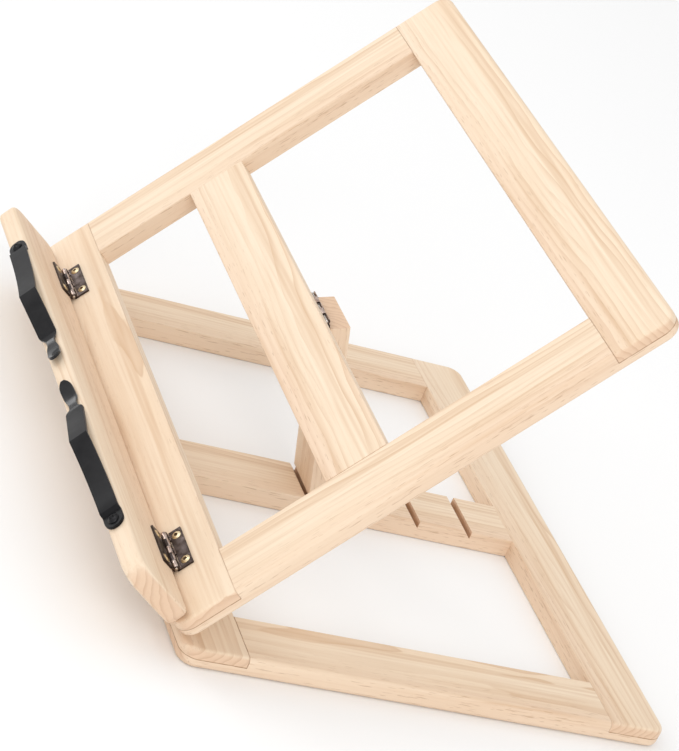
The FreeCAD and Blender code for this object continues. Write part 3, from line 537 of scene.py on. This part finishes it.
odd_leaf = make_leaf("leaf_three_fingers", 0)
even_leaf = make_leaf("leaf_two_fingers", 1)
for leaf in (odd_leaf, even_leaf):
    spots = [v.co for v in leaf.data.vertices]
    lowest = round(min(p.y for p in spots) / MM, 2)
    highest = round(max(p.z for p in spots) / MM, 2)
    print(leaf.name, "y", lowest, "z", highest, "faces", len(leaf.data.polygons))

# %% [markdown]
# The pin is a piece of drawn wire, cut to the hinge's length and tumbled, so its ends are
# rounded. A cylinder with its two end edges bevelled is just that.

# %% Hinge pin
pin = add(
    bpy.ops.mesh.primitive_cylinder_add,
    "pin",
    vertices=20,
    radius=0.8 * MM,
    depth=HINGE_LONG,
    rotation=(0, pi / 2, 0),
)
pick(pin, lambda a, b: abs(a.x - b.x) < 1e-7, "EDGE")
bpy.ops.mesh.bevel(offset=0.35 * MM, segments=3)
bpy.ops.object.mode_set(mode="OBJECT")
soften(pin, 0.02 * MM, 1, 50)
print("pin faces:", len(pin.data.polygons))

# %% [markdown]
# A raised countersunk screw is turned as one piece: a low crown, a cone that fills the leaf's
# hole, and a shank down into the wood. A cylinder's top is extruded and drawn in ring by ring to
# make the crown, its bottom is drawn in for the cone and the shank, and a cross is cut out for
# the driver. The cross tapers, because a driver's tip does.


# %% Screws
def cross_tool(top, reach, wide, depth):
    """A cross that narrows downwards."""
    size = (wide, wide, depth)
    at = (0, 0, top - depth / 2)
    obj = add(bpy.ops.mesh.primitive_cube_add, "cross", size=1, location=at, scale=size)
    for axis in (Vector((1, 0, 0)), Vector((-1, 0, 0)), Vector((0, 1, 0)), Vector((0, -1, 0))):
        pick(obj, lambda spot, normal: normal.dot(axis) > 0.9 and spot.dot(axis) < wide)
        bpy.ops.mesh.extrude_region_move(TRANSFORM_OT_translate={"value": axis * (reach - wide / 2)})
    pick(obj, lambda middle_point, normal: normal.z < -0.9)
    bpy.ops.transform.resize(value=(0.45, 0.45, 1), center_override=(0, 0, 0))
    bpy.ops.mesh.select_all(action="SELECT")
    bpy.ops.transform.rotate(value=radians(45), orient_axis="Z", center_override=(0, 0, 0))
    bpy.ops.object.mode_set(mode="OBJECT")
    return obj


def turned(name, rings):
    """A round piece from (radius, height) rings, bottom to top, each one extruded from the last."""
    radius, height = rings[0]
    obj = add(
        bpy.ops.mesh.primitive_circle_add,
        name,
        vertices=32,
        radius=radius,
        fill_type="NGON",
        location=(0, 0, height),
    )
    bpy.ops.mesh.select_all(action="SELECT")
    for new_radius, new_height in rings[1:]:
        lift = (0, 0, new_height - height)
        bpy.ops.mesh.extrude_region_move(TRANSFORM_OT_translate={"value": lift})
        grow = new_radius / radius
        bpy.ops.transform.resize(value=(grow, grow, 1), center_override=(0, 0, new_height))
        radius, height = new_radius, new_height
    bpy.ops.mesh.select_all(action="SELECT")
    bpy.ops.mesh.normals_make_consistent(inside=False)
    bpy.ops.object.mode_set(mode="OBJECT")
    return obj


def crown(radius, rise, base=0.0, count=5):
    """The rings of a crowned head, from its rim to its top."""
    ball = (radius**2 + rise**2) / (2 * rise)
    rings = []
    for number in range(count + 1):
        r = radius * (1 - number / count * 0.96)
        rings.append((r, base + rise - ball + (ball**2 - r**2) ** 0.5))
    return rings


below = [(0.3 * MM, -8.4 * MM), (1.1 * MM, -6.4 * MM), (1.1 * MM, -1 * MM), (2.15 * MM, -0.05 * MM)]
screw = turned("hinge_screw", below + crown(2.2 * MM, 0.6 * MM))
cut(screw, cross_tool(0.9 * MM, 1.1 * MM, 0.6 * MM, 1.1 * MM))
soften(screw, 0.05 * MM, 1, 40)
below = [(1.5 * MM, -13 * MM), (1.5 * MM, 0), (2.5 * MM, 0), (2.6 * MM, 0.25 * MM)]
clip_screw = turned("clip_screw", below + crown(2.6 * MM, 1.25 * MM, 0.25 * MM))
cut(clip_screw, cross_tool(1.9 * MM, 1.45 * MM, 0.7 * MM, 1.3 * MM))
soften(clip_screw, 0.05 * MM, 1, 40)
print("screw faces:", len(screw.data.polygons), len(clip_screw.data.polygons))

# %% [markdown]
# The hinges are stamped steel with an aged bronze finish, dark brown-grey on the flats. The fingers
# get a lighter, shinier copy of the bronze as a painted highlight for the bright glints their curves
# catch. The screws are pale brass, with painted shade inside the cross. Metal shows its finish in
# its shine, so slow noise moves the roughness too.


# %% Metals
def metal(name, light, dark, rough, grain=260):
    """A rough-and-bright metal: light and dark are its two tones."""
    material, shader, tree = plain(name, light, rough[0], 1.0)
    where = tree.nodes.new("ShaderNodeTexCoord")
    patches = noise(tree, where.outputs["Object"], (grain,) * 3, 4, 0.6)[0]
    fine = noise(tree, where.outputs["Object"], (grain * 9,) * 3, 2, 0.6)[0]
    wire(tree, mix(tree, step(tree, patches, 0.35, 0.7), light, dark), shader.inputs["Base Color"])
    wire(tree, step(tree, patches, 0.3, 0.7, rough[0], rough[1]), shader.inputs["Roughness"])
    bump = tree.nodes.new("ShaderNodeBump")
    bump.inputs["Strength"].default_value = 0.12
    bump.inputs["Distance"].default_value = 0.00005
    wire(tree, fine, bump.inputs["Height"])
    wire(tree, bump.outputs[0], shader.inputs["Normal"])
    return material


bronze = metal("aged_bronze", (0.080, 0.062, 0.058), (0.045, 0.031, 0.025), (0.34, 0.5))
# Painted highlight: a lighter, shinier bronze for the hinge fingers, standing for the glints they
# catch.
finger_highlight = metal("painted_highlight_bronze", (0.62, 0.50, 0.44), (0.30, 0.21, 0.17), (0.2, 0.34), 420)
wire_steel = metal("pin_steel", (0.60, 0.56, 0.52), (0.42, 0.38, 0.34), (0.24, 0.36), 500)
brass = metal("pale_brass", (0.78, 0.66, 0.44), (0.58, 0.44, 0.25), (0.24, 0.4), 500)
# Painted shade: a dark brown metal for the faces inside each screw's cross, where shade falls.
cross_shade = metal("painted_cross_shade", (0.16, 0.10, 0.05), (0.07, 0.045, 0.025), (0.5, 0.6))
print("metals:", bronze.name, finger_highlight.name, wire_steel.name, brass.name)


# %% Give each metal its faces
def finish_faces(obj, first, second, test):
    """Give a piece its main finish, and a second one where a face's middle passes a test."""
    obj.data.materials.clear()
    obj.data.materials.append(first)
    obj.data.materials.append(second)
    for face in obj.data.polygons:
        face.material_index = int(test(face.center, face.normal))


def on_finger(spot, normal):
    """Whether a leaf's face lies on the outside of a finger."""
    near_pin = Vector((spot.y, spot.z)).length < 1.75 * MM and spot.y < 1.1 * MM
    return near_pin and abs(normal.x) < 0.5


def in_cross(spot, normal):
    """Whether a screw's face lies inside its cross."""
    near_axis = Vector((spot.x, spot.y)).length < 1.12 * MM
    sunk = normal.z < 0.72 or spot.z < 0.1 * MM
    return near_axis and sunk and spot.z > -0.4 * MM


for leaf in (odd_leaf, even_leaf):
    finish_faces(leaf, bronze, finger_highlight, on_finger)
pin.data.materials.append(wire_steel)
finish_faces(screw, brass, cross_shade, in_cross)
print("faces finished")

# %% [markdown]
# Five hinges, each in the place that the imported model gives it: two join the panel to the base,
# two join the ledge to the panel, and one carries the strut. The leaves and pins are copies of
# the three pieces above, laid against the wood of the board that each one is screwed to.

# %% Lay out the hinges
TILT_SIDE = 108 * MM
LEDGE_SIDE = 111.5 * MM
in_ledge = turn_x(LEDGE_TURN)
hinge_sites = []


def hinge(label, pin_at, fixed, fixed_turn, moving, moving_turn):
    """Note one hinge: its two leaves' words and bodies, and where each leaf lies."""
    pin_place = Matrix.Translation(pin_at)
    hinge_sites.append((label, *fixed, pin_place @ fixed_turn, *moving, pin_place @ moving_turn))


for word, side in (("left", -1), ("right", 1)):
    hinge(
        "tilt_hinge_" + word,
        pivots["panel_tilt"] + Vector((side * TILT_SIDE, 0, 0)),
        ("base_leaf", "base"),
        flat,
        ("panel_leaf", "panel"),
        tilted @ FLIP,
    )
    hinge(
        "ledge_hinge_" + word,
        pivots["ledge_fold"] + Vector((side * LEDGE_SIDE, 0, 0)),
        ("panel_leaf", "panel"),
        tilted,
        ("ledge_leaf", "ledge"),
        in_ledge @ FLIP,
    )
hinge(
    "prop_hinge",
    pivots["prop_swing"],
    ("panel_leaf", "panel"),
    tilted @ turn_x(pi),
    ("strut_leaf", "prop"),
    turn_x(STRUT_TURN) @ FLIP,
)
for label, fixed, fixed_body, fixed_place, moving, moving_body, moving_place in hinge_sites:
    for part, word, body, place in (
        (odd_leaf, fixed, fixed_body, fixed_place),
        (even_leaf, moving, moving_body, moving_place),
        (pin, "pin", fixed_body, fixed_place),
    ):
        piece = copy_of(part, "%s_%s_piece" % (label, word), place)
        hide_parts("%s_%s" % (label, word))
        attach(piece, body)
print("hinges:", len(hinge_sites))


# %% Drive the hinge screws
def screw_group(node, body, part, places):
    """Copies of one screw, joined as the one piece that a group of fasteners is."""
    copies = []
    for number, place in enumerate(places):
        copies.append(copy_of(part, "%s_%d" % (node, number), place))
    start()
    for each in copies:
        each.select_set(True)
    bpy.context.view_layer.objects.active = copies[0]
    bpy.ops.object.join()
    group = bpy.context.object
    group.name = node + "_piece"
    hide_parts(node)
    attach(group, body)


def on_leaf(place, side, twist):
    """Where a screw goes: on top of a leaf, turned a little so that no two crosses line up."""
    top = Matrix.Translation((side * SCREW_HALF, SCREW_OUT, SHEET - RISE))
    return place @ top @ Matrix.Rotation(radians(twist), 4, "Z")


def leaf_places(label, leaf_word):
    """Where the leaves lie that one group of screws holds."""
    places = []
    for name, fixed, _, fixed_place, moving, _, moving_place in hinge_sites:
        if not name.startswith(label):
            continue
        if fixed == leaf_word:
            places.append(fixed_place)
        elif moving == leaf_word:
            places.append(moving_place)
    return places


for node, body, label, leaf_word in (
    ("tilt_hinge_base_screws", "base", "tilt_hinge", "base_leaf"),
    ("tilt_hinge_panel_screws", "panel", "tilt_hinge", "panel_leaf"),
    ("ledge_hinge_panel_screws", "panel", "ledge_hinge", "panel_leaf"),
    ("ledge_hinge_ledge_screws", "ledge", "ledge_hinge", "ledge_leaf"),
    ("prop_hinge_panel_screws", "panel", "prop_hinge", "panel_leaf"),
    ("prop_hinge_strut_screws", "prop", "prop_hinge", "strut_leaf"),
):
    places = []
    for number, place in enumerate(leaf_places(label, leaf_word)):
        for side in (-1, 1):
            places.append(on_leaf(place, side, 37 * number + 21 * side))
    screw_group(node, body, screw, places)
    print(node, len(places))

# %% [markdown]
# A page clip is one strip of spring steel. It starts in a round tab under its screw, steps out,
# runs in a hollow curve to a sharp crest, falls back to a narrow neck that rests on the wood, and
# ends in a rounded tip, dipped in gloss paint. A flat strip is extruded stop by stop along that
# line and drawn in or out at each stop. It gets its thickness last, so the strip stays even.

# %% Stops along the clip
CLIP_SHEET = 1.5 * MM
LEDGE_FRONT = 35.55 * MM
FOOT = Vector((10.6, 1.9))
CREST = Vector((57, 8.3))
NECK = Vector((88.5, 0.4))
TIP = Vector((107.5, 3.5))
TAB_HALF = 4.5
PAD_HALVES = (2.15, 2.1, 2.3, 2.75, 3.1, 3.2, 3.2, 3.2, 3.15, 2.9, 2.2, 0.9)
PAINT_FROM = 82.5 * MM
CLIP_LEFT = -105.5 * MM
CLIP_RIGHT = 120 * MM


def arc(start_point, end_point, radius, count):
    """Points of a shallow arc that sags below its chord."""
    chord = end_point - start_point
    half = chord.length / 2
    square = Vector((-chord.y, chord.x)).normalized()
    sag_centre = (start_point + end_point) / 2 + square * (radius**2 - half**2) ** 0.5
    points = []
    for number in range(1, count + 1):
        share = start_point.lerp(end_point, number / count)
        points.append(sag_centre + (share - sag_centre).normalized() * radius)
    return points


def clip_line():
    """The strip's underside as (along, out) points, with half its width at each."""
    stops = []
    for x in (0.12, 0.5, 1.2, 2.2, 3.3, 4.5, 9.4):
        half = (TAB_HALF**2 - max(0, TAB_HALF - x) ** 2) ** 0.5
        stops.append((Vector((x, 0)), half))
    stops.append((FOOT, TAB_HALF))
    stops += [(point, TAB_HALF) for point in arc(FOOT, CREST, 220, 9)]
    for share in (0.25, 0.5, 0.75, 0.88):
        stops.append((CREST.lerp(NECK, share), TAB_HALF))
    stops.append((CREST.lerp(NECK, 0.93), 4.0))
    stops.append((NECK, 2.4))
    stops += list(zip(arc(NECK, TIP, 38, len(PAD_HALVES)), PAD_HALVES))
    return stops


stops = clip_line()
print("clip stops:", len(stops))


# %% Bend the clips
def make_clip(name, direction):
    """A clip that runs along X from its screw, with the ledge's front edge at Y = 0."""
    first, half = stops[0]
    second, second_half = stops[1]
    obj = add(bpy.ops.mesh.primitive_plane_add, name, size=1, rotation=(-pi / 2, 0, 0))
    size = ((second.x - first.x) * MM, 1, 2 * half * MM)
    bpy.ops.transform.resize(value=size, center_override=(0, 0, 0))
    bpy.ops.transform.translate(value=((first.x + second.x) / 2 * MM, 0, 0))
    end_x = second.x * MM
    pick(obj, lambda a, b: abs(a.x - end_x) < 1e-7 and abs(b.x - end_x) < 1e-7, "EDGE")
    bpy.ops.transform.resize(value=(1, 1, second_half / half), center_override=(0, 0, 0))
    at, wide = second, second_half
    for point, new_wide in stops[2:]:
        move = (*((point - at) * MM), 0)
        bpy.ops.mesh.extrude_region_move(TRANSFORM_OT_translate={"value": move})
        bpy.ops.transform.resize(value=(1, 1, new_wide / wide), center_override=(0, 0, 0))
        at, wide = point, new_wide
    bpy.ops.mesh.select_all(action="SELECT")
    bpy.ops.transform.translate(value=(-TAB_HALF * MM, 0.1 * MM, 0))
    if direction < 0:
        bpy.ops.transform.resize(value=(-1, 1, 1), center_override=(0, 0, 0))
    bpy.ops.mesh.normals_make_consistent(inside=False)
    bpy.ops.object.mode_set(mode="OBJECT")
    if obj.data.polygons[3].normal.y < 0:
        obj.data.flip_normals()
    wall = obj.modifiers.new("wall", "SOLIDIFY")
    wall.thickness = CLIP_SHEET
    wall.offset = 1
    wall.use_even_offset = True
    bpy.ops.object.modifier_apply(modifier="wall")
    soften(obj, 0.2 * MM, 2, 16)
    return obj


clip_steel, shader, tree = plain("satin_black", (0.0105, 0.0103, 0.0115), 0.38)
shader.inputs["Specular IOR Level"].default_value = 0.11
where = tree.nodes.new("ShaderNodeTexCoord")
cloud = noise(tree, where.outputs["Object"], (120, 120, 120), 4, 0.6)[0]
grit = noise(tree, where.outputs["Object"], (2400, 2400, 2400), 2, 0.6)[0]
satin = mix(tree, step(tree, cloud, 0.35, 0.7), (0.008, 0.0078, 0.0088), (0.0125, 0.012, 0.013))
wire(tree, satin, shader.inputs["Base Color"])
wire(tree, step(tree, cloud, 0.3, 0.7, 0.33, 0.42), shader.inputs["Roughness"])
bump = tree.nodes.new("ShaderNodeBump")
bump.inputs["Strength"].default_value = 0.15
bump.inputs["Distance"].default_value = 0.00004
wire(tree, grit, bump.inputs["Height"])
wire(tree, bump.outputs[0], shader.inputs["Normal"])
gloss, shader, tree = plain("gloss_black", (0.008, 0.008, 0.009), 0.12)
shader.inputs["Specular IOR Level"].default_value = 0.35
where = tree.nodes.new("ShaderNodeTexCoord")
cloud = noise(tree, where.outputs["Object"], (200, 200, 200), 2)[0]
paint = mix(tree, cloud, (0.006, 0.006, 0.007), (0.012, 0.012, 0.013))
wire(tree, paint, shader.inputs["Base Color"])
wire(tree, step(tree, cloud, 0.3, 0.7, 0.1, 0.2), shader.inputs["Roughness"])

to_front_edge = Matrix.Translation((0, LEDGE_FRONT, RISE + STOCK / 2))
on_ledge = Matrix.Translation(pivots["ledge_fold"]) @ in_ledge @ to_front_edge
for word, side, x in (("left", 1, CLIP_LEFT), ("right", -1, CLIP_RIGHT)):
    clip = make_clip("clip_" + word, side)
    finish_faces(clip, clip_steel, gloss, lambda c, n: abs(c.x) > PAINT_FROM)
    piece = copy_of(clip, "page_clip_%s_piece" % word, Matrix.Translation((x, 0, 0)) @ on_ledge)
    bpy.data.objects.remove(clip)
    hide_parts("page_clip_" + word)
    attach(piece, "clip_" + word)
    print(piece.name, "faces", len(piece.data.polygons))

# %% [markdown]
# The clips' screws are blackened. They are the pan-headed ones turned above, driven through the
# tabs into the ledge's front edge.

# %% Clip screws
black_tones = ((0.035, 0.034, 0.036), (0.02, 0.02, 0.021))
black_screw = metal("blackened_steel", *black_tones, (0.3, 0.45), 400)
clip_screw.data.materials.append(black_screw)
out_of_edge = Matrix.Translation((0, 1.7 * MM, 0)) @ Matrix.Rotation(-pi / 2, 4, "X")
places = []
for x, twist in ((CLIP_LEFT, 18), (CLIP_RIGHT, -33)):
    spin = Matrix.Rotation(radians(twist), 4, "Z")
    places.append(Matrix.Translation((x, 0, 0)) @ on_ledge @ out_of_edge @ spin)
screw_group("clip_screws", "ledge", clip_screw, places)
for pattern in (odd_leaf, even_leaf, pin, screw, clip_screw):
    bpy.data.objects.remove(pattern)
print("clip screws:", len(places))
